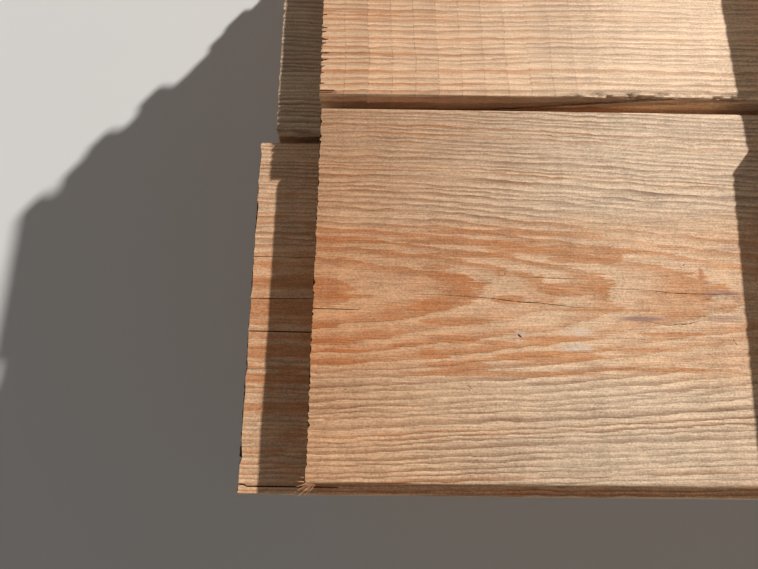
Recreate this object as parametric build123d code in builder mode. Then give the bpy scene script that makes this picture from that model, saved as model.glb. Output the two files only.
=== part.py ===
from build123d import *

import os
from collections import namedtuple

# A stack of dressed softwood planks, lying flat, in full tiers with a tier of shorter planks on top.
# Millimetres. X runs along the planks, Y across them from the near side to the far side, Z is up.
# The origin is on the floor, at the middle of the stack's bounding box.
# Tiers are counted from the floor, and the planks of a tier from the near side.

# The planks, as dressed from 2 by 12 stock
plank_width = 285.75
plank_thickness = 38.1
plank_length = 3048.0
short_plank_length = 2438.4
arris_radius = 1.2

# The stack
planks_across = 4
full_tiers = 16
under_tier = full_tiers - 1
short_tier = full_tiers + 1

# How unevenly it was stacked. A stagger or skew is the most that a plank lies to either side of its line.
narrowest_gap = 1.5
widest_gap = 13.0
end_stagger = 16.0
side_stagger = 5.0
length_scatter = 4.0
end_skew = 1.2

# How far each of the upper tiers is drawn back from the end line, and shifted in from the side line
tier_setback = {full_tiers: 44.0, short_tier: 410.0}
tier_shift = {under_tier: 0.0, full_tiers: 10.4, short_tier: 6.0}

# The planks in the open, measured: end past the tier's end line, gap to the plank beyond, and how far
# the left end's far corner lies past its near corner
measured_end = {
    (under_tier - 1, 2): 0.0,
    (under_tier, 1): -9.2,
    (under_tier, 2): 2.8,
    (full_tiers, 1): 0.2,
    (full_tiers, 2): -0.9,
    (short_tier, 1): -23.0,
    (short_tier, 2): 12.0,
}
measured_gap = {(under_tier, 1): 12.0, (full_tiers, 1): 13.4}
measured_skew = {(under_tier, 1): -0.9, (full_tiers, 1): 0.5, (short_tier, 1): 20.0}

# Checks: wedge-shaped splits that run in from a plank's left end. Each has its distance from the near
# side, its length, its width at the mouth, and its depth.
Check = namedtuple("Check", "across length mouth depth")
checks = {
    (under_tier, 1): [
        Check(across=5.4, length=78.0, mouth=1.8, depth=9.0),
        Check(across=121.0, length=120.0, mouth=1.2, depth=7.0),
        Check(across=147.3, length=85.0, mouth=0.8, depth=5.0),
        Check(across=182.4, length=95.0, mouth=0.8, depth=5.0),
    ],
    (full_tiers, 1): [Check(across=120.5, length=52.0, mouth=0.8, depth=4.0)],
    (full_tiers, 2): [Check(across=3.4, length=15.0, mouth=2.2, depth=6.0)],
}

golden_step = 0.6180339887
Place = namedtuple("Place", "left near length left_skew right_skew")


def scatter(count):
    """A value from -1 to 1 that jumps about evenly as the count goes up."""
    return 2 * (count * count * golden_step % 1) - 1


def gap_beyond(tier, plank):
    """The gap from a plank to the next one of its tier."""
    share = (1 + scatter(tier * planks_across + plank)) / 2
    return measured_gap.get((tier, plank), narrowest_gap + (widest_gap - narrowest_gap) * share)


def place_of(tier, plank):
    """Where a plank lies, from the stack's end line and side line."""
    key = (tier, plank)
    count = tier * planks_across + plank
    side = tier_shift.get(tier, side_stagger * scatter(tier))
    nominal_length = short_plank_length if tier == short_tier else plank_length
    return Place(
        left=tier_setback.get(tier, 0) + measured_end.get(key, end_stagger * scatter(count)),
        near=side + sum(plank_width + gap_beyond(tier, nearer) for nearer in range(1, plank)),
        length=nominal_length + length_scatter * (1 + scatter(count * 2)),
        left_skew=measured_skew.get(key, end_skew * scatter(count * 3)),
        right_skew=end_skew * scatter(count * 5),
    )


tiers = range(1, short_tier + 1)
planks = range(1, planks_across + 1)
places = {(tier, plank): place_of(tier, plank) for tier in tiers for plank in planks}

left_limit = min(p.left + min(0, p.left_skew) for p in places.values())
right_limit = max(p.left + p.length + max(0, p.right_skew) for p in places.values())
near_limit = min(p.near for p in places.values())
far_limit = max(p.near for p in places.values()) + plank_width
middle_x = (left_limit + right_limit) / 2
middle_y = (near_limit + far_limit) / 2


def bed(tier):
    """The plane that a tier lies on, with the stack's end line and side line as its axes."""
    return Plane.XY.offset((tier - 1) * plank_thickness).shift_origin(
        (-middle_x, -middle_y, (tier - 1) * plank_thickness)
    )


def write(part, name):
    """Label a finished part and write it as a STEP file."""
    part.label = name
    export_step(part, f"parts/{name}.step")


def corners(place):
    """The plank's corners seen from above, its ends sawn a little out of square."""
    right = place.left + place.length
    far = place.near + plank_width
    return [
        (place.left, place.near),
        (right, place.near),
        (right + place.right_skew, far),
        (place.left + place.left_skew, far),
    ]


def check_corners(place, check):
    """The wedge of a check seen from above, run out past the plank's end."""
    mouth_x = place.left + min(0, place.left_skew) - end_skew
    middle = place.near + check.across
    return [
        (mouth_x, middle - check.mouth / 2),
        (place.left + check.length, middle),
        (mouth_x, middle + check.mouth / 2),
    ]


os.makedirs("parts", exist_ok=True)

# The lower tiers, each with its planks side by side
for tier in range(1, under_tier):
    with BuildPart() as tier_planks:
        with BuildSketch(bed(tier)):
            for plank in planks:
                with BuildLine():
                    Polyline(*corners(places[tier, plank]), close=True)
                make_face()
        extrude(amount=plank_thickness)
        fillet(tier_planks.edges().filter_by(Axis.X), radius=arris_radius)
    write(tier_planks.part, f"tier_{tier:02}")

# The upper tiers, plank by plank, with the checks in the ends of those in the open
for tier in range(under_tier, short_tier + 1):
    top = bed(tier).offset(plank_thickness)
    for plank in planks:
        place = places[tier, plank]
        with BuildPart() as upper_plank:
            with BuildSketch(bed(tier)):
                with BuildLine():
                    Polyline(*corners(place), close=True)
                make_face()
            extrude(amount=plank_thickness)
            fillet(upper_plank.edges().filter_by(Axis.X), radius=arris_radius)
            for check in checks.get((tier, plank), []):
                with BuildSketch(top):
                    with BuildLine():
                        Polyline(*check_corners(place, check), close=True)
                    make_face()
                extrude(amount=-check.depth, mode=Mode.SUBTRACT)
        write(upper_plank.part, f"tier_{tier:02}_plank_{plank}")
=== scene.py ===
"""A stack of wide pine planks, finished plank by plank over its solid model: worn arrises,
rough-sawn ends, cracks and growth rings that run through every face, with a plain studio."""

import math
import random
from collections import namedtuple

import bmesh
import bpy
from bpy.props import FloatProperty, FloatVectorProperty, IntProperty, PointerProperty
from bpy.types import Operator, Panel, PropertyGroup
from mathutils import Matrix, Vector, noise


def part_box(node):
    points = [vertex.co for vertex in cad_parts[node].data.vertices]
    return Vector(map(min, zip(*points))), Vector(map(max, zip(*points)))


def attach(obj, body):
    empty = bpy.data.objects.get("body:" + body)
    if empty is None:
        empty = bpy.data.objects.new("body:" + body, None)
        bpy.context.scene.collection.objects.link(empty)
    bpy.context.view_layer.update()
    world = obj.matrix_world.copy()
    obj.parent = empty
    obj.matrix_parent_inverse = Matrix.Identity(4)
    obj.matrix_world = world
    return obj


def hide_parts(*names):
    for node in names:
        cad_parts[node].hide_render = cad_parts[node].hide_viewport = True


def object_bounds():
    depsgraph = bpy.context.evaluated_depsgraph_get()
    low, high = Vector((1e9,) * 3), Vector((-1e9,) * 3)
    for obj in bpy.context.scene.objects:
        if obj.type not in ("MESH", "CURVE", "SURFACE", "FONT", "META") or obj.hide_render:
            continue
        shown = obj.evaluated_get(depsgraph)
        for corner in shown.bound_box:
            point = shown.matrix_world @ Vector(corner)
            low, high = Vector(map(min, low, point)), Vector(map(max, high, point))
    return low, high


bl_info = {
    "name": "Pine Plank Stack",
    "version": (1, 0, 0),
    "blender": (4, 5, 0),
    "location": "View3D > Sidebar > Planks",
    "description": "Finishes a stack of sawn planks and sets a plain studio round it",
    "category": "Object",
}

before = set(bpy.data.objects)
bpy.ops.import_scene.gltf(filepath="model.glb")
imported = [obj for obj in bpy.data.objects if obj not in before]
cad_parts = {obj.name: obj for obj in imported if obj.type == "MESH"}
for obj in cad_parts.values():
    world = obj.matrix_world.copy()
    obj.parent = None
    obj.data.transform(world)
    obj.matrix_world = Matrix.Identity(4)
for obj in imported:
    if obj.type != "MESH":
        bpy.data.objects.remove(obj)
cad_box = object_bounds()

MM = 0.001
TOUCH = 1e-6  # nearer than this, two places are one
HAIR = 0.3 * MM  # nearer than this, two corners lie in line

LOWER_TIERS = sorted(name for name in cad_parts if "plank" not in name)
UNDER_TIER = sorted(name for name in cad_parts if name.startswith("tier_15_plank"))
TOP_TIER = sorted(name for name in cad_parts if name.startswith("tier_16_plank"))
SHORT_TIER = sorted(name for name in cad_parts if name.startswith("tier_17_plank"))
NEAR_TOP_PLANK, FAR_TOP_PLANK = TOP_TIER[:2]
NEAR_UNDER_PLANK, FAR_UNDER_PLANK = UNDER_TIER[:2]
PLANK_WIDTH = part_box(NEAR_TOP_PLANK)[1].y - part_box(NEAR_TOP_PLANK)[0].y
PLANK_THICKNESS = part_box(NEAR_TOP_PLANK)[1].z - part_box(NEAR_TOP_PLANK)[0].z

# About half of a plank's thickness, above or below which the other planks' piths lie
MID_DEPTH = 19 * MM

# Two planks' left ends have bowed up, from where the short tier weighs them down
BOW_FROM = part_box(SHORT_TIER[1])[0].x
BOW_LENGTH = BOW_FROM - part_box(FAR_TOP_PLANK)[0].x

# Where a plank is cut across near each end, how far in those faces are fine, and how many parts the
# whole length has
END_CUTS = (4 * MM, 12 * MM, 40 * MM, 150 * MM)
END_ZONE = 12.5 * MM
LONG_PARTS = 9

# On a plank seen close to, the planer's marks fade out from here, over this length
CHATTER_FADES = 190 * MM
CHATTER_FADE = 80 * MM

# The saw's deepest bites, and half of their width in millimetres
BITE_DEPTH = 3.4 * MM
BITE_HALF_WIDTH = 0.6

# The band of an arris that the planer tore out, and how deep it went
TORN_BAND = 5 * MM
TORN_DEPTH = 2.8 * MM

# The share of a plank's brightness that is left on its lower arrises: painted shade under each
# plank, where it lies on the one below
UNDERSIDE_SHADE = 0.4

# What a plank's mesh notes at each of its points, for the wood's finishes to read
VECTOR_NOTES = ("pith", "lean", "tone", "marks")
NUMBER_NOTES = ("check", "brown")

# The camera's sensor in millimetres, and how bright the sky looks to it
SENSOR_WIDTH = 36.0
SKY_SEEN = 0.74


def from_screen(red, green, blue):
    """A colour as picked on screen, 0 to 255, in the linear values that a shader takes."""
    shares = (red / 255, green / 255, blue / 255)
    return tuple(s / 12.92 if s <= 0.04045 else ((s + 0.055) / 1.055) ** 2.4 for s in shares)


class WoodSettings(PropertyGroup):
    """Colours and scales of the wood."""

    early_colour: FloatVectorProperty(
        name="Earlywood", description="The pale part of a growth ring", subtype="COLOR",
        size=3, min=0, max=1, default=from_screen(235, 203, 168),
    )
    late_colour: FloatVectorProperty(
        name="Latewood", description="The dark part of a growth ring", subtype="COLOR",
        size=3, min=0, max=1, default=from_screen(122, 80, 54),
    )
    heart_early_colour: FloatVectorProperty(
        name="Warm earlywood", description="Earlywood where the face lies along the rings",
        subtype="COLOR", size=3, min=0, max=1, default=from_screen(230, 188, 149),
    )
    heart_late_colour: FloatVectorProperty(
        name="Warm latewood", description="Latewood where the face lies along the rings",
        subtype="COLOR", size=3, min=0, max=1, default=from_screen(198, 132, 81),
    )
    end_early_colour: FloatVectorProperty(
        name="End earlywood", description="Earlywood on a sawn end", subtype="COLOR",
        size=3, min=0, max=1, default=from_screen(214, 168, 118),
    )
    end_late_colour: FloatVectorProperty(
        name="End latewood", description="Latewood on a sawn end", subtype="COLOR",
        size=3, min=0, max=1, default=from_screen(148, 96, 58),
    )
    stain_colour: FloatVectorProperty(
        name="Stain", description="Purple-grey streaks left by damp", subtype="COLOR",
        size=3, min=0, max=1, default=from_screen(138, 100, 96),
    )
    scuff_colour: FloatVectorProperty(
        name="Scuff", description="Wood fibres scraped pale", subtype="COLOR",
        size=3, min=0, max=1, default=from_screen(224, 204, 184),
    )
    weathered_colour: FloatVectorProperty(
        name="Weathered", description="Wood that has gone grey in the open", subtype="COLOR",
        size=3, min=0, max=1, default=from_screen(190, 166, 142),
    )
    # Painted shade for the insides of cracks and torn arrises
    check_colour: FloatVectorProperty(
        name="Check", description="The shade inside a crack", subtype="COLOR",
        size=3, min=0, max=1, default=from_screen(66, 36, 22),
    )
    chatter_pitch: FloatProperty(
        name="Planer pitch", description="Distance between the marks of the planer's head",
        default=19 * MM, min=2 * MM, unit="LENGTH",
    )
    ring_ridge: FloatProperty(
        name="Ring ridge", description="How far latewood stands above earlywood",
        default=0.22 * MM, min=0, unit="LENGTH",
    )


class PlankSettings(PropertyGroup):
    """Sizes of the planks' own edges and of the mesh that shows them."""

    arris: FloatProperty(
        name="Arris", description="Radius of the eased long edges", default=1.2 * MM, min=0,
        unit="LENGTH",
    )
    strip: FloatProperty(
        name="Strip", description="Width of the strips that a plank's faces are divided into",
        default=14 * MM, min=2 * MM, unit="LENGTH",
    )
    end_step: FloatProperty(
        name="End step", description="Size of the faces at a sawn end",
        default=3.4 * MM, min=1 * MM, unit="LENGTH",
    )
    fine_step: FloatProperty(
        name="Fine step", description="Size of the faces on the part seen close to",
        default=1.6 * MM, min=0.5 * MM, unit="LENGTH",
    )
    tooth: FloatProperty(
        name="Tooth", description="How deep the saw tore an end", default=1.3 * MM, min=0,
        unit="LENGTH",
    )
    lift: FloatProperty(
        name="Lift", description="How far the end of the far top plank has bowed up",
        default=5.2 * MM, min=0, unit="LENGTH",
    )
    knock: FloatProperty(
        name="Knock", description="How far an arris is worn back in places",
        default=0.5 * MM, min=0, unit="LENGTH",
    )
    seed: IntProperty(name="Seed", description="Picks the other planks' grain", default=7)


class StageSettings(PropertyGroup):
    """Camera, lamps and floor."""

    camera_height: FloatProperty(
        name="Camera height", description="Above the near top plank",
        default=404.32 * MM, unit="LENGTH",
    )
    camera_along: FloatProperty(
        name="Camera along", description="From the near top plank's left end",
        default=45.8 * MM, unit="LENGTH",
    )
    camera_across: FloatProperty(
        name="Camera across", description="From the near top plank's near side",
        default=28.5 * MM, unit="LENGTH",
    )
    camera_pitch: FloatProperty(
        name="Camera pitch", description="From straight down", default=0.26724, subtype="ANGLE",
    )
    camera_roll: FloatProperty(
        name="Camera roll", description="Turn about the line of sight", default=0.03795,
        subtype="ANGLE",
    )
    camera_yaw: FloatProperty(
        name="Camera yaw", description="Turn about the vertical", default=-0.02596, subtype="ANGLE",
    )
    lens: FloatProperty(
        name="Lens", description="Focal length on a 36 mm wide sensor", default=27.05,
        unit="CAMERA",
    )
    key_from: FloatVectorProperty(
        name="Key from", description="Direction towards the key light", subtype="DIRECTION",
        size=3, default=(39.2, 49.0, 38.1),
    )
    key_strength: FloatProperty(
        name="Key strength", description="Strength of the key light", default=4.3,
    )
    key_spread: FloatProperty(
        name="Key spread", description="Width of the key light, as an angle",
        default=math.radians(1.4), subtype="ANGLE",
    )
    fill_from: FloatVectorProperty(
        name="Fill from", description="Direction towards the fill light", subtype="DIRECTION",
        size=3, default=(-1.0, -1.1, 0.5),
    )
    fill_strength: FloatProperty(
        name="Fill strength", description="Strength of the fill light", default=0.42,
    )
    fill_spread: FloatProperty(
        name="Fill spread", description="Width of the fill light, as an angle",
        default=math.radians(70), subtype="ANGLE",
    )
    sky_strength: FloatProperty(
        name="Sky strength", description="Strength of the light all round", default=0.11,
    )
    floor_colour: FloatVectorProperty(
        name="Floor", description="Colour of the floor", subtype="COLOR",
        size=3, min=0, max=1, default=from_screen(222, 219, 214),
    )
    floor_size: FloatProperty(
        name="Floor size", description="Side of the floor", default=40.0, unit="LENGTH",
    )


class Flow:
    """A socket in a material's nodes. Arithmetic adds Math nodes, and node adds any other kind."""

    def __init__(self, tree, socket=None):
        self.tree = tree
        self.socket = socket

    def node(self, kind, settings=None, inputs=None, output=0):
        """The output, or the tuple of outputs, of a new node with its settings and inputs set."""
        made = self.tree.nodes.new("ShaderNode" + kind)
        for name, value in (settings or {}).items():
            setattr(made, name, value)
        for name, value in (inputs or {}).items():
            if isinstance(value, Flow):
                self.tree.links.new(value.socket, made.inputs[name])
            else:
                made.inputs[name].default_value = value
        if isinstance(output, tuple):
            return tuple(Flow(self.tree, made.outputs[name]) for name in output)
        return Flow(self.tree, made.outputs[output])

    def math(self, operation, *others):
        """A Math node on this value and others."""
        return self.node("Math", {"operation": operation}, dict(enumerate((self, *others))))

    def __add__(self, other):
        return self.math("ADD", other)

    def __sub__(self, other):
        return self.math("SUBTRACT", other)

    def __mul__(self, other):
        return self.math("MULTIPLY", other)

    def __truediv__(self, other):
        return self.math("DIVIDE", other)

    def __pow__(self, other):
        return self.math("POWER", other)

    def __rsub__(self, other):
        return self.node("Math", {"operation": "SUBTRACT"}, {0: other, 1: self})

    def __rtruediv__(self, other):
        return self.node("Math", {"operation": "DIVIDE"}, {0: other, 1: self})

    __radd__ = __add__
    __rmul__ = __mul__

    def split(self):
        """The three numbers of a vector."""
        return self.node("SeparateXYZ", inputs={"Vector": self}, output=("X", "Y", "Z"))

    def smooth(self, low, high, to_low=0.0, to_high=1.0):
        """This value eased from one range to another."""
        return self.node(
            "MapRange", {"interpolation_type": "SMOOTHSTEP"},
            {"Value": self, "From Min": low, "From Max": high, "To Min": to_low, "To Max": to_high},
        )

    def blend(self, first, second):
        """Two colours mixed by this value."""
        return self.node(
            "Mix", {"data_type": "RGBA", "blend_type": "MIX"}, {0: self, 6: first, 7: second},
            output=2,
        )

    def tinted(self, tint):
        """This colour times another."""
        return self.node(
            "Mix", {"data_type": "RGBA", "blend_type": "MULTIPLY"}, {0: 1.0, 6: self, 7: tint},
            output=2,
        )

    def vector(self, x, y, z):
        """Three numbers as a vector."""
        return self.node("CombineXYZ", inputs={"X": x, "Y": y, "Z": z})

    def noise(self, where, detail=2.0, roughness=0.5, scale=1.0):
        """Smooth noise about a half, read at a place. The faster the place changes over each metre,
        the finer the pattern."""
        return self.node(
            "TexNoise", {"noise_dimensions": "3D"},
            {"Vector": where, "Scale": scale, "Detail": detail, "Roughness": roughness},
        )

    def lot(self, first, second):
        """A number from 0 to 1 that falls to each pair of whole numbers."""
        pair = self.vector(first, second, 0.0)
        return self.node(
            "TexWhiteNoise", {"noise_dimensions": "2D"}, {"Vector": pair}, output="Value")

    def attribute(self, name, output="Vector"):
        """What a mesh stores under a name."""
        settings = {"attribute_type": "GEOMETRY", "attribute_name": name}
        return self.node("Attribute", settings, output=output)

    def feed(self, shader, name):
        """Links this value to a socket of the shader."""
        self.tree.links.new(self.socket, shader.inputs[name])


def solid(colour):
    """A linear colour with full alpha, as a node's colour socket takes it."""
    return (*colour, 1.0)


def new_finish(name):
    """A material, its shader, and a flow that adds to its nodes."""
    material = bpy.data.materials.new(name)
    material.use_nodes = True
    tree = material.node_tree
    return material, tree.nodes["Principled BSDF"], Flow(tree)


def give_relief(flow, shader, height, strength):
    """Makes a height, in metres, show as relief."""
    bump = flow.node("Bump", {}, {"Strength": strength, "Distance": 1.0, "Height": height})
    bump.feed(shader, "Normal")


# The log at a point: the point itself, its place about the pith line and its distance from it, how
# far through its ring it lies, a share that goes with the ring, how clear the rings are here, which
# step of the planer it lies in, a share that goes with the step, and the plank's seed and tone
Log = namedtuple(
    "Log", "x y z across up distance ring weight clear step step_share seed bright warm chatter",
)


def growth_rings(flow, settings):
    """The log that a plank was sawn from, as nodes that read the plank's own attributes."""
    x, y, z = flow.node("TexCoord", output="Object").split()
    pith_y, pith_z, seed = flow.attribute("pith").split()
    lean_y, lean_z, pitch = flow.attribute("lean").split()
    bright, warm, chatter = flow.attribute("tone").split()
    slip = flow.noise(flow.vector(x * 4.0, y * 14.0, z * 14.0 + seed)) - 0.5
    step = (x + slip * (8 * MM)) / settings.chatter_pitch
    step_share = flow.lot(step.math("FLOOR"), seed)
    sway = flow.noise(flow.vector(x * 1.7, seed * 9.1, 3.0), detail=1.0) - 0.5
    rise = flow.noise(flow.vector(x * 2.3, seed * 7.7, 8.0), detail=1.0) - 0.5
    across = y - pith_y - lean_y * x + sway * (20 * MM) + (step_share - 0.5) * chatter * (0.7 * MM)
    up = z - pith_z - lean_z * x + rise * (16 * MM)
    broad = flow.noise(flow.vector(x * 7.0, y * 22.0 + seed, z * 22.0), detail=1.0) - 0.5
    wave = flow.noise(flow.vector(x * 40.0, y * 140.0 + seed, z * 140.0)) - 0.5
    fringe = flow.noise(flow.vector(x * 70.0, y * 1100.0, z * 1100.0 + seed), detail=1.0) - 0.5
    distance = (across * across + up * up) ** 0.5
    distance = distance + broad * (6 * MM) + wave * (3.6 * MM) + fringe * (1.4 * MM)
    rings = distance / pitch + 0.5 / (distance + 12 * MM)
    rings = rings + (flow.noise(flow.vector(rings * 0.45, seed * 5.0, 1.0), detail=0.0) - 0.5) * 1.3
    weight = flow.lot(rings.math("FLOOR"), seed)
    clear = flow.noise(flow.vector(x * 11.0, y * 55.0 + seed, z * 55.0))
    return Log(
        x, y, z, across, up, distance, rings.math("FRACT"), weight,
        clear.smooth(0.32, 0.62, 0.52, 1.0), step, step_share, seed, bright, warm, chatter,
    )


def latewood(log, begins, deepest, faintest):
    """How dark a ring is at a point: it deepens slowly, ends soon after, and is fainter in some."""
    dark = log.ring.smooth(begins, deepest) * log.ring.smooth(0.9, 1.0, 1.0, 0.0)
    return dark * log.weight.smooth(0.0, 1.0, faintest, 1.0)


def dressed_pine(settings):
    """Planed faces and edges, dried and a little weathered."""
    material, shader, flow = new_finish("dressed_pine")
    log = growth_rings(flow, settings)
    x, y, z, seed = log.x, log.y, log.z, log.seed
    bleached = (log.bright - 0.98).math("MAXIMUM", 0.0)
    late = latewood(log, 0.2, 0.86, 0.7) * log.clear * (1.0 - bleached * 1.4)
    patch, stain, scuff = flow.attribute("marks").split()
    check = flow.attribute("check", "Fac")
    brown = flow.attribute("brown", "Fac")

    fibre = flow.noise(flow.vector(x * 60.0, y * 1000.0, z * 1000.0 + seed), roughness=0.7)
    streak = flow.noise(
        flow.vector(x * 18.0, y * 420.0 + seed, z * 420.0), detail=3.0, roughness=0.65)
    cloud = flow.noise(flow.vector(x * 6.0, y * 17.0, z * 17.0 + seed), detail=3.0, roughness=0.55)
    smear = flow.noise(flow.vector(x * 95.0, y * 7.0 + seed, z * 7.0))
    grit = flow.noise(flow.vector(x * 700.0, y * 1000.0, z * 1000.0), detail=1.0)
    rub = flow.noise(flow.vector(x * 330.0 + y * 280.0, y * 120.0, seed), detail=3.0)
    wander = flow.noise(flow.vector(x * 45.0, y * 150.0, z * 150.0), detail=3.0)
    grey = flow.noise(flow.vector(x * 2.4 + seed, y * 9.0, z * 9.0), detail=3.0)
    dash = flow.noise(flow.vector(x * 500.0, y * 420.0, z * 420.0), detail=1.0)

    # Where a face lies along the rings, they show as broad, warm bands
    lying = log.across.math("ABSOLUTE") / log.up.math("ABSOLUTE") + (cloud - 0.5) * 0.5
    lying = lying.smooth(0.55, 1.05, 1.0, 0.0)
    lying = lying * log.warm + (log.warm - 1.0).math("MAXIMUM", 0.0)
    lying = lying.math("MINIMUM", 1.0)
    ruddy = log.weight.smooth(0.74, 0.88) * 0.5
    pale = lying.blend(solid(settings.early_colour), solid(settings.heart_early_colour))
    dark = (lying + ruddy).math("MINIMUM", 1.0)
    dark = dark.blend(solid(settings.late_colour), solid(settings.heart_late_colour))
    colour = (late * (0.6 + fibre * 0.7)).math("MINIMUM", 1.0).blend(pale, dark)
    patch = (patch + (streak - 0.5) * 0.9 + (wander - 0.5) * 0.7).smooth(0.42, 0.66)
    colour = (patch * 0.72).blend(colour, solid(settings.heart_late_colour))
    grey = grey.smooth(0.42, 0.72) * (1.0 - lying) * 0.32
    colour = grey.blend(colour, solid(settings.weathered_colour))

    # Each step of the planer is a shallow scallop in relief, also painted from light to dark across
    # it as painted shade, with a broken dark line of painted shade where it starts
    through = log.step.math("FRACT")
    scallop = through.smooth(0.0, 1.0, 0.9, 0.3) + (log.step_share - 0.5) * 0.8
    line = through.smooth(0.0, 0.055, 1.0, 0.0) * dash.smooth(0.40, 0.60)

    texture = (
        (fibre - 0.5) * 0.80 + (streak - 0.5) * 0.66 + (cloud - 0.5) * 0.40
        + (smear - 0.5) * 0.18 + (grit - 0.5) * 0.85
    )
    value = log.bright * (1.0 + (1.25 - log.chatter * 0.5) * texture)
    # Painted shade across each planer step and along the line where it starts
    value = value + log.chatter * (scallop - 0.6) * 0.14 - log.chatter * line * 0.36
    brown = brown * (0.55 + lying * 0.45)
    colour = colour.tinted(
        flow.vector(value, value * (0.99 - brown * 0.22), value * (0.975 - brown * 0.38)))
    colour = (stain * streak.smooth(0.35, 0.6) * 0.8).blend(colour, solid(settings.stain_colour))
    colour = (scuff * rub.smooth(0.40, 0.58, 0.22, 1.0)).blend(colour, solid(settings.scuff_colour))
    # Painted shade inside cracks and in the torn arris
    colour = (check * 1.7).math("MINIMUM", 1.0).blend(colour, solid(settings.check_colour))
    colour.feed(shader, "Base Color")

    rough = (0.70 - late * 0.08 + (fibre - 0.5) * 0.16).math("MINIMUM", 0.92)
    rough.feed(shader, "Roughness")
    height = (
        late * settings.ring_ridge + fibre * (0.26 * MM) + streak * (0.24 * MM) + grit * (0.08 * MM)
        + log.chatter * (scallop * (0.10 * MM) - line * (0.15 * MM))
    )
    give_relief(flow, shader, height, 0.85)
    shader.inputs["Specular IOR Level"].default_value = 0.3
    return material


def sawn_end(settings):
    """Rough-sawn end grain: rings as arcs, cracks towards the pith, and the saw's scratches."""
    material, shader, flow = new_finish("sawn_end")
    log = growth_rings(flow, settings)
    x, y, z, seed = log.x, log.y, log.z, log.seed
    late = latewood(log, 0.3, 0.8, 0.6)
    colour = late.blend(solid(settings.end_early_colour), solid(settings.end_late_colour))

    angle = log.across.math("ARCTAN2", log.up)
    ray = flow.noise(flow.vector(angle * 26.0, log.distance * 14.0, seed))
    crack = ray.smooth(0.68, 0.72)
    blotch = flow.noise(flow.vector(seed, y * 30.0, z * 60.0), detail=4.0, roughness=0.6)
    scratch = flow.noise(
        flow.vector(seed, y * 60.0 + z * 25.0, z * 1500.0 - y * 400.0), detail=3.0)
    fuzz = flow.noise(flow.vector(x * 900.0, y * 900.0, z * 900.0))

    # Painted shade darkens the bottom of each plank's end, where it meets the plank below
    joint_shade = (z / PLANK_THICKNESS).math("FRACT").smooth(0.0, 0.055, 1.0, 0.0)
    value = 0.60 + blotch * 0.40 + scratch * 0.22 + (fuzz - 0.5) * 0.3
    value = log.bright * value * (1.0 - joint_shade * 0.45)
    colour = colour.tinted(flow.vector(value, value, value))
    # Painted shade inside the end checks
    colour = (crack * 0.75).blend(colour, solid(settings.check_colour))
    colour.feed(shader, "Base Color")
    rough = 0.86 + (fuzz - 0.5) * 0.1
    rough.feed(shader, "Roughness")
    height = scratch * (0.35 * MM) + fuzz * (0.25 * MM) + late * (0.2 * MM) - crack * (0.6 * MM)
    give_relief(flow, shader, height, 0.8)
    shader.inputs["Specular IOR Level"].default_value = 0.2
    return material


def studio_floor(settings):
    """A pale, faintly mottled floor."""
    material, shader, flow = new_finish("studio_floor")
    cloud = flow.noise(flow.node("TexCoord", output="Object"), detail=3.0, scale=0.8)
    darker = solid([c * 0.97 for c in settings.floor_colour])
    lighter = solid([min(1.0, c * 1.03) for c in settings.floor_colour])
    cloud.blend(darker, lighter).feed(shader, "Base Color")
    shader.inputs["Roughness"].default_value = 0.9
    return material


Plank = namedtuple("Plank", "left right left_skew right_skew near bottom thickness")

# Where the pith lies from a plank's near side and top face, how the log leans, the width of its
# rings, all in metres, a seed, and the plank's tone
Grain = namedtuple("Grain", "across up lean_y lean_z pitch seed bright warm chatter")

# What shows on a plank seen close to, in millimetres along from its left end, across from its near
# side and up from its top face. Dim and brown each give how much and how far along. The bow gives
# how far a bowed end came towards the near side for each millimetre that it rose, and the share of
# the rise that is missing at its near side.
Close = namedtuple(
    "Close", "reach cracks patches stains scuffs torn dim brown splinters bow",
    defaults=(0, (), (), (), (), None, (0.0, 1), (0.0, 1), (), None),
)
Crack = namedtuple("Crack", "points width depth")
Mark = namedtuple("Mark", "along across half_length half_width strength")
Splinter = namedtuple("Splinter", "start end radius")


def planks_of(node):
    """The planks of a CAD node, nearest first, read from where its corners lie."""
    points = [v.co.copy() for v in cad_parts[node].data.vertices]
    planks = []
    while points:
        near = min(p.y for p in points)
        far = near + PLANK_WIDTH
        mine = [p for p in points if p.y < far + HAIR]
        points = [p for p in points if p.y >= far + HAIR]
        near_side = [p.x for p in mine if p.y < near + HAIR]
        far_side = [p.x for p in mine if p.y > far - HAIR]
        bottom = min(p.z for p in mine)
        planks.append(Plank(
            left=min(near_side), right=max(near_side),
            left_skew=min(far_side) - min(near_side), right_skew=max(far_side) - max(near_side),
            near=near, bottom=bottom, thickness=max(p.z for p in mine) - bottom,
        ))
    return planks


CLOSE_GRAIN = {
    NEAR_TOP_PLANK: Grain(0.132, -0.058, 0.0, -0.055, 3.3 * MM, 2.0, 1.02, 1.0, 0.22),
    FAR_TOP_PLANK: Grain(-0.120, -0.075, 0.0, 0.0, 4.6 * MM, 5.0, 1.24, 1.12, 1.0),
    NEAR_UNDER_PLANK: Grain(0.150, -0.040, 0.0, -0.02, 3.2 * MM, 3.0, 0.92, 1.55, 0.1),
    FAR_UNDER_PLANK: Grain(0.420, -0.080, 0.0, 0.0, 4.0 * MM, 8.0, 0.80, 0.4, 0.1),
}

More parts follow.
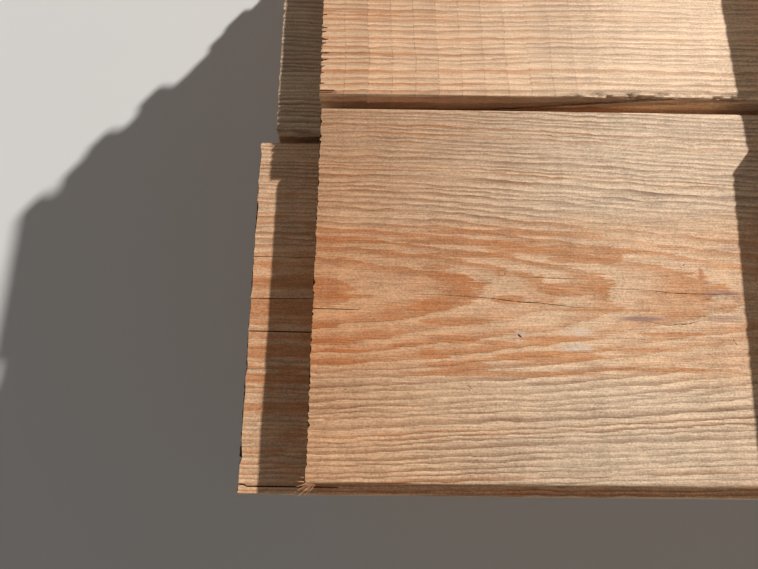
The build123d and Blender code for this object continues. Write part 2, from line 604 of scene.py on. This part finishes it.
CLOSE_DETAIL = {
    NEAR_TOP_PLANK: Close(
        reach=388,
        cracks=[
            Crack([(-2, 120.5), (20, 120.3), (36, 119.8)], 0.7, 4.0),
            Crack([
                (70, 132), (91.3, 131.7), (103.4, 131.4), (129.6, 129.8), (152.8, 127.2),
                (166, 126.7), (176, 125.6), (192, 123.6), (210, 123.2),
            ], 0.7, 1.3),
            Crack([(129, 147.3), (149, 146.6), (180, 145.6), (212, 145)], 0.5, 0.8),
            Crack([
                (212, 138.3), (232.5, 137.7), (246.6, 137.3), (260.6, 135.8), (276, 135),
                (316.5, 135.1),
            ], 0.6, 1.0),
            Crack([
                (242.5, 114.1), (250.4, 112.3), (259, 111.1), (266.5, 112.2), (273, 112.3),
                (283, 114.6), (285.8, 113.2),
            ], 0.8, 1.0),
            Crack([(149.5, 102.6), (150.8, 101.4)], 1.8, 2.5),
            Crack([(141.3, 149.9), (141.7, 148)], 0.9, 0.6),
            Crack([(273.4, 154.7), (274.6, 155.8)], 1.6, 0.8),
            Crack([(275.6, 157), (276.8, 157.6)], 1.2, 0.6),
            Crack([(295.4, 123.4), (298.4, 124.2), (300.9, 123.5)], 0.8, 0.6),
            Crack([(303.9, 104.1), (305.1, 100.1), (306.8, 96.8)], 0.7, 0.6),
            Crack([(286.8, 130.9), (292.8, 131.4)], 0.7, 0.6),
            Crack([(111, 67), (114, 64.6)], 0.9, 0.5),
            Crack([(24, 62), (26, 62.4)], 1.0, 0.5),
        ],
        patches=[
            Mark(150, 181, 90, 2.5, 0.8), Mark(120, 173, 70, 3, 0.8), Mark(190, 168, 70, 4, 0.8),
            Mark(200, 161, 30, 4, 0.8), Mark(219, 162.5, 12, 6, 0.9), Mark(112, 163, 45, 2.5, 0.8),
            Mark(92, 153, 14, 2.5, 0.9), Mark(100, 146, 18, 4, 0.8), Mark(137, 149, 1.5, 10, 0.6),
            Mark(190, 137, 26, 5.5, 1), Mark(144.5, 129, 14, 3.5, 0.9), Mark(205, 122, 50, 2, 0.7),
            Mark(90, 123.5, 13, 5.5, 1), Mark(106, 112.3, 28, 3.2, 1), Mark(84, 90, 8, 3.5, 0.8),
            Mark(106, 98, 18, 2.5, 0.9), Mark(130, 97, 18, 1.8, 0.8), Mark(176, 100.5, 32, 2, 1.0),
            Mark(172, 87.3, 40, 4.2, 1.0), Mark(104, 80.5, 28, 3, 0.9), Mark(140, 75, 90, 2.5, 0.8),
            Mark(240, 93, 40, 2, 0.7), Mark(250, 79, 60, 2.5, 0.7), Mark(260, 104.8, 30, 2.2, 0.8),
            Mark(255, 128, 50, 2.5, 0.4), Mark(288, 150.5, 2.5, 5.5, 0.8),
            Mark(20, 175, 30, 2.5, 0.8), Mark(22, 130, 30, 2.5, 0.7), Mark(16, 96, 26, 2.5, 0.8),
            Mark(18, 82, 26, 2.5, 0.7),
        ],
        stains=[
            Mark(240, 115.8, 17, 2.2, 1.0), Mark(303, 134.5, 15, 3.4, 1.0),
            Mark(302, 116.4, 14, 2.4, 0.9), Mark(288, 150.5, 1.0, 4.6, 0.8),
            Mark(281.6, 117.6, 1.5, 1.5, 0.8), Mark(318, 170, 30, 1.6, 0.5),
        ],
        scuffs=[
            Mark(189.5, 94.3, 12, 2.7, 1.0), Mark(191, 105.5, 11, 3.2, 0.6),
            Mark(152.6, 103.6, 1.9, 1.6, 0.9), Mark(149, 104.6, 1.8, 1.3, 0.6),
            Mark(149, 99.6, 1.4, 1.4, 0.6),
        ],
        dim=(0.21, 232),
        brown=(1.05, 172),
        splinters=[
            Splinter((6.0, -0.1, -1.0), (-4.6, -8.6, -3.2), 1.2),
            Splinter((4.6, -0.1, -1.6), (-7.0, -6.2, -3.0), 1.4),
            Splinter((5.6, -0.1, -0.8), (-1.0, -9.6, -4.6), 0.9),
            Splinter((3.0, 0.8, -1.0), (-6.5, 1.4, -1.6), 0.6),
            Splinter((1.5, 3.2, -0.8), (-3.2, 4.2, -1.4), 0.5),
            Splinter((3.6, -0.1, -1.4), (-4.5, -4.4, -1.8), 1.3),
            Splinter((2.0, -0.1, -0.8), (-5.6, -2.2, -0.6), 0.7),
            Splinter((7.2, -0.1, -1.2), (2.4, -7.0, -2.8), 0.8),
            Splinter((6.4, -0.1, -2.4), (-2.6, -6.4, -5.2), 1.1),
        ],
    ),
    FAR_TOP_PLANK: Close(
        reach=388,
        cracks=[
            Crack([(-2, 3.3), (10, 3.4), (13.5, 3.0)], 2.0, 8.0),
            Crack([(-2, 1.9), (11, 1.9), (14.5, 1.8)], 1.6, 8.0),
            Crack([(-2, 10.1), (4, 10.1)], 2.4, 6.0), Crack([(-2, 20.2), (3, 20.2)], 1.6, 4.0),
            Crack([(-2, 26.2), (4, 26.2)], 2.2, 5.0), Crack([(-2, 32.1), (6, 32.1)], 3.0, 8.0),
            Crack([(-2, 39.0), (7, 39.0)], 3.0, 8.0), Crack([(-2, 48.0), (3, 48.0)], 1.6, 4.0),
            Crack([(-2, 52.4), (6, 52.4)], 3.2, 8.0), Crack([(-2, 59.0), (3, 59.0)], 1.8, 4.0),
            Crack([(-2, 63.4), (5, 63.4)], 2.8, 6.0), Crack([(-2, 75.8), (4, 75.8)], 2.4, 6.0),
        ],
        patches=[
            Mark(40, 79, 120, 1.6, 0.6), Mark(45, 72, 120, 1.8, 0.6), Mark(250, 84, 60, 1.8, 0.5),
            Mark(245, 75, 60, 1.8, 0.5), Mark(60, 40, 60, 1.6, 0.5), Mark(120, 24, 70, 1.8, 0.5),
        ],
        torn=(178, 372),
        dim=(0.29, 260),
        brown=(0.3, 260),
        splinters=[Splinter((14.0, 0.9, -0.2), (0.2, 0.7, 0.0), 0.6)],
        bow=(0.88, 0.0),
    ),
    NEAR_UNDER_PLANK: Close(
        reach=74,
        cracks=[
            Crack([(-2, 6.4), (3, 6.9), (7, 5.6), (30, 5.6), (78, 5.3)], 1.5, 9.0),
            Crack([(-2, 121), (60, 120.4), (120, 121)], 1.2, 7.0),
            Crack([(-2, 147.3), (40, 147.6), (85, 147)], 0.8, 5.0),
            Crack([(-2, 182.4), (40, 182), (95, 182.6)], 0.8, 5.0),
        ],
        patches=[
            Mark(30, 140, 60, 8, 0.9), Mark(30, 104, 60, 4, 0.9), Mark(30, 160, 60, 5, 0.8),
            Mark(30, 84, 60, 4, 0.8), Mark(30, 62, 60, 4, 0.8), Mark(30, 120, 200, 190, 0.4),
        ],
        brown=(0.4, 600),
    ),
    FAR_UNDER_PLANK: Close(reach=60, bow=(0.61, 0.5)),
}


def grain_of(node, number, seed):
    """A plank's grain: chosen for the planks seen close to, picked from the seed for the others."""
    if node in CLOSE_GRAIN:
        return CLOSE_GRAIN[node]
    pick = random.Random(f"{node} {number} {seed}")
    side = pick.choice((-1, 1))
    return Grain(
        across=pick.uniform(-0.10, PLANK_WIDTH + 0.10),
        up=side * pick.uniform(0.03, 0.14) - MID_DEPTH,
        lean_y=pick.uniform(-0.012, 0.012),
        lean_z=pick.uniform(-0.02, 0.02),
        pitch=pick.uniform(2.6, 4.6) * MM,
        seed=pick.uniform(0.0, 40.0),
        bright=pick.uniform(0.88, 1.06),
        warm=pick.uniform(0.2, 1.0),
        chatter=pick.choice((0.0, 0.1, 0.3, 0.8)),
    )


def slice_faces(mesh, faces, places):
    """Cuts some of the faces square to the plank's length at sorted places, and leaves the rest
    whole. It cuts at the middle place first and then each half, which is much quicker than from one
    end."""
    if not places or not faces:
        return
    half = len(places) // 2
    place = places[half]
    geometry = list({part for face in faces for part in (face, *face.edges, *face.verts)})
    cut = bmesh.ops.bisect_plane(
        mesh, geom=geometry, dist=TOUCH, plane_co=(place, 0, 0), plane_no=(1, 0, 0),
    )
    faces = [part for part in cut["geom"] if isinstance(part, bmesh.types.BMFace)]
    slice_faces(mesh, [f for f in faces if f.calc_center_median().x < place], places[:half])
    slice_faces(mesh, [f for f in faces if f.calc_center_median().x > place], places[half + 1:])


def divide_across(mesh, parts, chosen):
    """Divides the chosen edges that cross a face from side to side into equal parts."""
    edges = []
    for edge in mesh.edges:
        first, last = (v.co for v in edge.verts)
        if abs(first.y - last.y) > PLANK_WIDTH / 2 and chosen(first):
            edges.append(edge)
    bmesh.ops.subdivide_edges(mesh, edges=edges, cuts=parts - 1)


def steps(low, high, count):
    """Places that divide a stretch into equal parts."""
    return [low + (high - low) * n / count for n in range(1, count)]


def plank_blank(plank, close, settings):
    """A plank at its own corner: eased long edges, and fine faces at its ends and where it is seen
    close to."""
    mesh = new_piece_mesh()
    length = plank.right - plank.left
    arris = settings.arris
    flat = PLANK_WIDTH - 2 * arris
    reach = close.reach * MM
    bmesh.ops.create_cube(mesh, size=1.0)
    for v in mesh.verts:
        v.co = Vector((
            length if v.co.x > 0 else 0.0,
            PLANK_WIDTH if v.co.y > 0 else 0.0,
            plank.thickness if v.co.z > 0 else 0.0,
        ))
    bmesh.ops.bevel(
        mesh, geom=[e for e in mesh.edges if e.calc_length() > PLANK_WIDTH * 2], offset=arris,
        offset_type="OFFSET", segments=4, profile=0.5, affect="EDGES", material=-1,
    )

    places = [*END_CUTS, *steps(0, length, LONG_PARTS), *(length - place for place in END_CUTS)]
    if reach:
        places = [place for place in places if place > reach or place == END_CUTS[0]] + [reach]
    slice_faces(mesh, mesh.faces[:], sorted(places))
    if reach:
        seen = []
        for face in mesh.faces:
            middle = face.calc_center_median()
            if middle.x < reach and middle.z > plank.thickness / 2 and abs(face.normal.x) < 0.5:
                seen.append(face)
        fine = steps(0, reach, round(reach / settings.fine_step))
        slice_faces(mesh, seen, [place for place in fine if place > END_CUTS[0] + 0.5 * MM])

        def seen_close(at):
            return at.x < reach + TOUCH and at.z > plank.thickness - TOUCH

        divide_across(mesh, round(flat / settings.fine_step), seen_close)

    def at_an_end(at):
        near_left = at.x < END_ZONE and (not reach or at.z < TOUCH)
        return near_left or at.x > length - END_ZONE

    divide_across(mesh, round(flat / settings.end_step), at_an_end)
    divide_across(mesh, round(flat / settings.strip), lambda at: True)
    return mesh


def faces_along(mesh, start, end, aside):
    """The upward faces near a line, with their edges and corners."""
    along = (end - start).normalized()
    found = set()
    for face in mesh.faces:
        middle = face.calc_center_median() - start
        beside = -4 * HAIR < middle.dot(along) < (end - start).length + 4 * HAIR
        if beside and abs(middle.dot(aside)) < 4 * MM and face.normal.z > 0.7:
            found.update((face, *face.edges, *face.verts))
    return list(found)


def cut_cracks(mesh, plank, cracks):
    """Opens cracks in the top face. A crack from the plank's end tapers to nothing further in. Any
    other tapers at both ends, and is worst a little beyond its middle."""
    check_layer = mesh.verts.layers.float["check"]
    for crack in cracks:
        points = [Vector((px * MM, py * MM, plank.thickness)) for px, py in crack.points]
        whole = sum((b - a).length for a, b in zip(points, points[1:]))
        from_end = crack.points[0][0] < 0
        half = crack.width * MM / 2
        run = 0.0
        for a, b in zip(points, points[1:]):
            piece = (b - a).length
            along = (b - a).normalized()
            aside = Vector((-along.y, along.x, 0))
            geometry = faces_along(mesh, a, b, aside)
            for offset in (-half, 0.0, half):
                geometry = bmesh.ops.bisect_plane(
                    mesh, geom=geometry, dist=TOUCH, plane_co=a + aside * offset, plane_no=aside,
                )["geom"]
            for v in {part for part in geometry if isinstance(part, bmesh.types.BMVert)}:
                place = v.co - a
                in_line = -TOUCH <= place.dot(along) <= piece + TOUCH
                if not in_line or abs(place.dot(aside)) > 2 * TOUCH or v[check_layer]:
                    continue
                share = (run + place.dot(along)) / whole
                if from_end:
                    taper, worst = max(0.0, 1 - share), 1.0
                else:
                    taper = max(0.0, math.sin(math.pi * min(1, max(0, share)))) ** 0.5
                    worst = math.exp(-((share - 0.62) / 0.16) ** 2)
                # Painted shade inside the crack, strongest where it is widest and deepest
                if taper > 0:
                    v[check_layer] = min(1.0, 0.25 + taper) * (0.3 + 0.7 * worst)
                v.co.z -= crack.depth * MM * taper * (0.25 + 0.75 * worst)
            run += piece


def add_splinters(mesh, plank, splinters):
    """Slivers that hang from a torn corner: each tapers from where it grows out to a fine point."""
    for splinter in splinters:
        start = Vector(splinter.start) * MM
        end = Vector(splinter.end) * MM
        along = end - start
        place = Matrix.Translation((start + end) / 2 + Vector((0, 0, plank.thickness)))
        turn = along.to_track_quat("Z", "Y").to_matrix().to_4x4()
        bmesh.ops.create_cone(
            mesh, cap_ends=True, segments=6, radius1=splinter.radius * MM,
            radius2=splinter.radius * 0.12 * MM, depth=along.length, matrix=place @ turn,
        )


def mark_amount(marks, at):
    """How strongly a point is covered by soft oval marks."""
    amount = 0.0
    for mark in marks:
        u = (at.x / MM - mark.along) / mark.half_length
        v = (at.y / MM - mark.across) / mark.half_width
        amount = max(amount, mark.strength * max(0.0, 1.25 - (u * u + v * v) * 0.75))
    return min(1.0, amount)


def saw_depth(at, seed, tooth):
    """How deep the saw tore an end at a place."""
    where = Vector((seed, at.y * 420, at.z * 90))
    tear = 0.45 + 0.6 * noise.noise(where) + 0.5 * noise.noise(where * 2.3)
    nick = max(0.0, noise.noise(Vector((seed + 9, at.y * 330, at.z * 60))) - 0.25) * 2.2
    tuft = 0.5 * noise.noise(Vector((seed + 4, at.y * 900, at.z * 200)))
    return tooth * max(0.0, tear + nick + tuft)


def torn_depth(at, torn):
    """How deep the planer tore the near arris at a place."""
    low, high = torn
    if at.x >= high * MM + HAIR:
        return 0.0
    inside = min(1.0, max(0.0, (at.x / MM - low) / 70))
    pull = 0.5 + 1.2 * noise.noise(Vector((at.x * 62, at.y * 240, at.z * 200)))
    pull += 0.8 * noise.noise(Vector((at.x * 240, at.y * 520, at.z * 500)))
    return inside * max(0.0, pull) * (1 - at.y / TORN_BAND) * TORN_DEPTH


def finish_plank(mesh, plank, grain, close, settings):
    """Roughens a plank that still lies at its own corner, notes its grain and lays it in place."""
    length = plank.right - plank.left
    vectors, numbers = mesh.verts.layers.float_vector, mesh.verts.layers.float
    pith_layer, lean_layer, tone_layer, marks_layer = (vectors[name] for name in VECTOR_NOTES)
    check_layer, brown_layer = (numbers[name] for name in NUMBER_NOTES)
    pith = Vector((
        plank.near + grain.across - grain.lean_y * plank.left,
        plank.bottom + plank.thickness + grain.up - grain.lean_z * plank.left,
        grain.seed,
    ))
    lean = Vector((grain.lean_y, grain.lean_z, grain.pitch))
    fades = CHATTER_FADES if close.reach else length * 2
    dim, dim_length = close.dim
    brown, brown_length = close.brown
    starts = [crack.points[0] for crack in close.cracks if len(crack.points) == 2]
    bites = [across for along, across in starts if along < 0]
    kinds = (close.patches, close.stains, close.scuffs)
    for v in mesh.verts:
        at = v.co.copy()
        share = at.y / PLANK_WIDTH
        upper = at.z > plank.thickness / 2
        chatter = grain.chatter * max(0.0, min(1.0, 1 - (at.x - fades) / CHATTER_FADE))
        dimmed = dim * (1 - min(1.0, max(0.0, at.x) / MM / dim_length) ** 1.4)
        dimmed *= 1 + 1.06 * share * share
        v[pith_layer] = pith
        v[lean_layer] = lean
        v[tone_layer] = Vector((grain.bright - dimmed, grain.warm + dimmed * 2, chatter))
        v[brown_layer] = brown * max(0.0, 1 - at.x / MM / brown_length) * (1 - 0.55 * share ** 4)
        if upper and at.x < close.reach * MM + HAIR:
            v[marks_layer] = Vector([mark_amount(marks, at) for marks in kinds])

        at_left = abs(at.x) < TOUCH
        if at_left or abs(at.x - length) < TOUCH:
            deep = saw_depth(at, grain.seed, settings.tooth)
            if at_left and upper and any(abs(at.y / MM - bite) < BITE_HALF_WIDTH for bite in bites):
                deep = BITE_DEPTH
            v.co.x += deep if at_left else -deep
        on_side = min(at.y, PLANK_WIDTH - at.y)
        on_face = min(at.z, plank.thickness - at.z)
        if on_side < settings.arris and on_face < settings.arris:
            worn = noise.noise(Vector((at.x * 9, at.y * 30, at.z * 30 + grain.seed))) - 0.1
            wear = settings.knock * max(0.0, worn) * 2
            v.co.y += wear if at.y < PLANK_WIDTH / 2 else -wear
            v.co.z += wear if at.z < plank.thickness / 2 else -wear
            # Painted shade: the lower arrises are darkened as if shaded by the joint beneath
            if at.z < plank.thickness / 2:
                v[tone_layer] = Vector((grain.bright * UNDERSIDE_SHADE, grain.warm, chatter))
        if close.torn and at.y < TORN_BAND and at.z > plank.thickness * 0.8:
            deep = torn_depth(at, close.torn)
            v.co.y += deep * 0.5
            v.co.z -= deep * 0.9
            # Painted shade in the torn recess
            v[check_layer] = max(v[check_layer], min(0.4, deep / MM * 0.16))

        left = plank.left + plank.left_skew * share
        right = plank.right + plank.right_skew * share
        v.co = Vector((
            left + v.co.x * (right - left) / length,
            plank.near + v.co.y,
            plank.bottom + v.co.z,
        ))
        if close.bow:
            nearing, twist = close.bow
            lift = settings.lift * max(0.0, (BOW_FROM - v.co.x) / BOW_LENGTH) ** 2
            lift *= 1 - twist * (1 - share) ** 4
            v.co.y -= lift * nearing
            v.co.z += lift


def new_piece_mesh():
    """An empty bmesh with room for what the wood's materials read."""
    mesh = bmesh.new()
    for name in VECTOR_NOTES:
        mesh.verts.layers.float_vector.new(name)
    for name in NUMBER_NOTES:
        mesh.verts.layers.float.new(name)
    return mesh


def place_piece(mesh, node, materials):
    """Turns a bmesh into the piece that stands for a CAD node."""
    for face in mesh.faces:
        face.smooth = True
        face.material_index = 1 if abs(face.normal.x) > 0.75 else 0
    data = bpy.data.meshes.new("wood_" + node)
    mesh.to_mesh(data)
    mesh.free()
    data.set_sharp_from_angle(angle=math.radians(35))
    for material in materials:
        data.materials.append(material)
    piece = bpy.data.objects.new("wood_" + node, data)
    bpy.context.scene.collection.objects.link(piece)
    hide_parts(node)
    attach(piece, "root")


def wood_materials(scene):
    """The two finishes of the wood, made once."""
    wood = scene.plank_wood
    made = bpy.data.materials
    return made.get("dressed_pine") or dressed_pine(wood), made.get("sawn_end") or sawn_end(wood)


def lay_planks(scene, nodes):
    """Builds and places the pieces for these CAD nodes."""
    settings = scene.plank_sizes
    for node in nodes:
        piece = new_piece_mesh()
        close = CLOSE_DETAIL.get(node, Close())
        for number, plank in enumerate(planks_of(node)):
            mesh = plank_blank(plank, close, settings)
            cut_cracks(mesh, plank, close.cracks)
            add_splinters(mesh, plank, close.splinters)
            finish_plank(mesh, plank, grain_of(node, number, settings.seed), close, settings)
            bmesh.ops.recalc_face_normals(mesh, faces=mesh.faces)
            blank = bpy.data.meshes.new("blank")
            mesh.to_mesh(blank)
            mesh.free()
            piece.from_mesh(blank)
            bpy.data.meshes.remove(blank)
        place_piece(piece, node, wood_materials(scene))


class PLANKS_OT_lower_tiers(Operator):
    """Lay the full tiers whose ends and edges show"""

    bl_idname = "planks.lower_tiers"
    bl_label = "Lower Tiers"
    bl_options = {"REGISTER", "UNDO"}

    def execute(self, context):
        lay_planks(context.scene, LOWER_TIERS)
        return {"FINISHED"}


class PLANKS_OT_under_tier(Operator):
    """Lay the tier that sticks out under the top one"""

    bl_idname = "planks.under_tier"
    bl_label = "Tier Under the Top"
    bl_options = {"REGISTER", "UNDO"}

    def execute(self, context):
        lay_planks(context.scene, UNDER_TIER)
        return {"FINISHED"}


class PLANKS_OT_top_tier(Operator):
    """Lay the last full tier, seen close to from above"""

    bl_idname = "planks.top_tier"
    bl_label = "Top Tier"
    bl_options = {"REGISTER", "UNDO"}

    def execute(self, context):
        lay_planks(context.scene, TOP_TIER)
        return {"FINISHED"}


class PLANKS_OT_short_tier(Operator):
    """Lay the shorter planks on the stack"""

    bl_idname = "planks.short_tier"
    bl_label = "Short Tier"
    bl_options = {"REGISTER", "UNDO"}

    def execute(self, context):
        lay_planks(context.scene, SHORT_TIER)
        return {"FINISHED"}


def add_sun(scene, name, towards, strength, spread):
    """A distant lamp that shines from a direction."""
    lamp = bpy.data.lights.new(name, "SUN")
    lamp.energy = strength
    lamp.angle = spread
    obj = bpy.data.objects.new(name, lamp)
    obj.rotation_euler = Vector(towards).to_track_quat("Z", "Y").to_euler()
    scene.collection.objects.link(obj)


class PLANKS_OT_stage(Operator):
    """Set the camera, lamps, sky and floor"""

    bl_idname = "planks.stage"
    bl_label = "Stage"
    bl_options = {"REGISTER", "UNDO"}

    def execute(self, context):
        scene = context.scene
        stage = scene.plank_stage
        self.floor(scene, stage)
        self.sky(scene, stage)
        add_sun(scene, "key", stage.key_from, stage.key_strength, stage.key_spread)
        add_sun(scene, "fill", stage.fill_from, stage.fill_strength, stage.fill_spread)
        self.camera(scene, stage)
        scene.view_settings.view_transform = "Standard"
        return {"FINISHED"}

    def floor(self, scene, stage):
        mesh = bmesh.new()
        bmesh.ops.create_grid(mesh, x_segments=4, y_segments=4, size=stage.floor_size / 2)
        bmesh.ops.translate(mesh, verts=mesh.verts, vec=(0, 0, cad_box[0].z - HAIR))
        data = bpy.data.meshes.new("floor")
        mesh.to_mesh(data)
        mesh.free()
        data.materials.append(studio_floor(stage))
        floor = bpy.data.objects.new("floor", data)
        scene.collection.objects.link(floor)

    def sky(self, scene, stage):
        world = bpy.data.worlds.new("sky")
        world.use_nodes = True
        background = world.node_tree.nodes["Background"]
        background.inputs["Color"].default_value = (1.0, 1.0, 1.0, 1.0)
        flow = Flow(world.node_tree)
        direct, glossy, through = flow.node(
            "LightPath", output=("Is Camera Ray", "Is Glossy Ray", "Is Transmission Ray"),
        )
        seen = (direct + glossy + through).math("MINIMUM", 1.0)
        strength = seen * (SKY_SEEN - stage.sky_strength) + stage.sky_strength
        world.node_tree.links.new(strength.socket, background.inputs["Strength"])
        scene.world = world

    def camera(self, scene, stage):
        low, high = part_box(NEAR_TOP_PLANK)
        data = bpy.data.cameras.new("camera")
        data.lens = stage.lens
        data.sensor_width = SENSOR_WIDTH
        data.clip_start = 10 * MM
        camera = bpy.data.objects.new("camera", data)
        place = Matrix.Translation((
            low.x + stage.camera_along, low.y + stage.camera_across, high.z + stage.camera_height,
        ))
        yaw = Matrix.Rotation(stage.camera_yaw, 4, "Z")
        pitch = Matrix.Rotation(stage.camera_pitch, 4, "X")
        roll = Matrix.Rotation(stage.camera_roll, 4, "Z")
        camera.matrix_world = place @ yaw @ pitch @ roll
        scene.collection.objects.link(camera)
        scene.camera = camera


class PLANKS_PT_panel(Panel):
    """Lists what builds the stack"""

    bl_label = "Plank Stack"
    bl_idname = "PLANKS_PT_panel"
    bl_space_type = "VIEW_3D"
    bl_region_type = "UI"
    bl_category = "Planks"

    def draw(self, context):
        for builder in BUILDERS:
            self.layout.operator(builder.bl_idname)
        for name, kind in SETTINGS.items():
            box = self.layout.box()
            for field in kind.__annotations__:
                box.prop(getattr(context.scene, name), field)


BUILDERS = (
    PLANKS_OT_stage,
    PLANKS_OT_lower_tiers,
    PLANKS_OT_under_tier,
    PLANKS_OT_top_tier,
    PLANKS_OT_short_tier,
)
SETTINGS = {"plank_wood": WoodSettings, "plank_sizes": PlankSettings, "plank_stage": StageSettings}


def register():
    for group in SETTINGS.values():
        bpy.utils.register_class(group)
    for name, group in SETTINGS.items():
        setattr(bpy.types.Scene, name, PointerProperty(type=group))
    for builder in BUILDERS:
        bpy.utils.register_class(builder)
    bpy.utils.register_class(PLANKS_PT_panel)


def unregister():
    bpy.utils.unregister_class(PLANKS_PT_panel)
    for builder in reversed(BUILDERS):
        bpy.utils.unregister_class(builder)
    for name, group in SETTINGS.items():
        delattr(bpy.types.Scene, name)
        bpy.utils.unregister_class(group)


def main():
    register()
    bpy.ops.planks.stage()
    bpy.ops.planks.lower_tiers()
    bpy.ops.planks.under_tier()
    bpy.ops.planks.top_tier()
    bpy.ops.planks.short_tier()


if __name__ == "__main__":
    main()
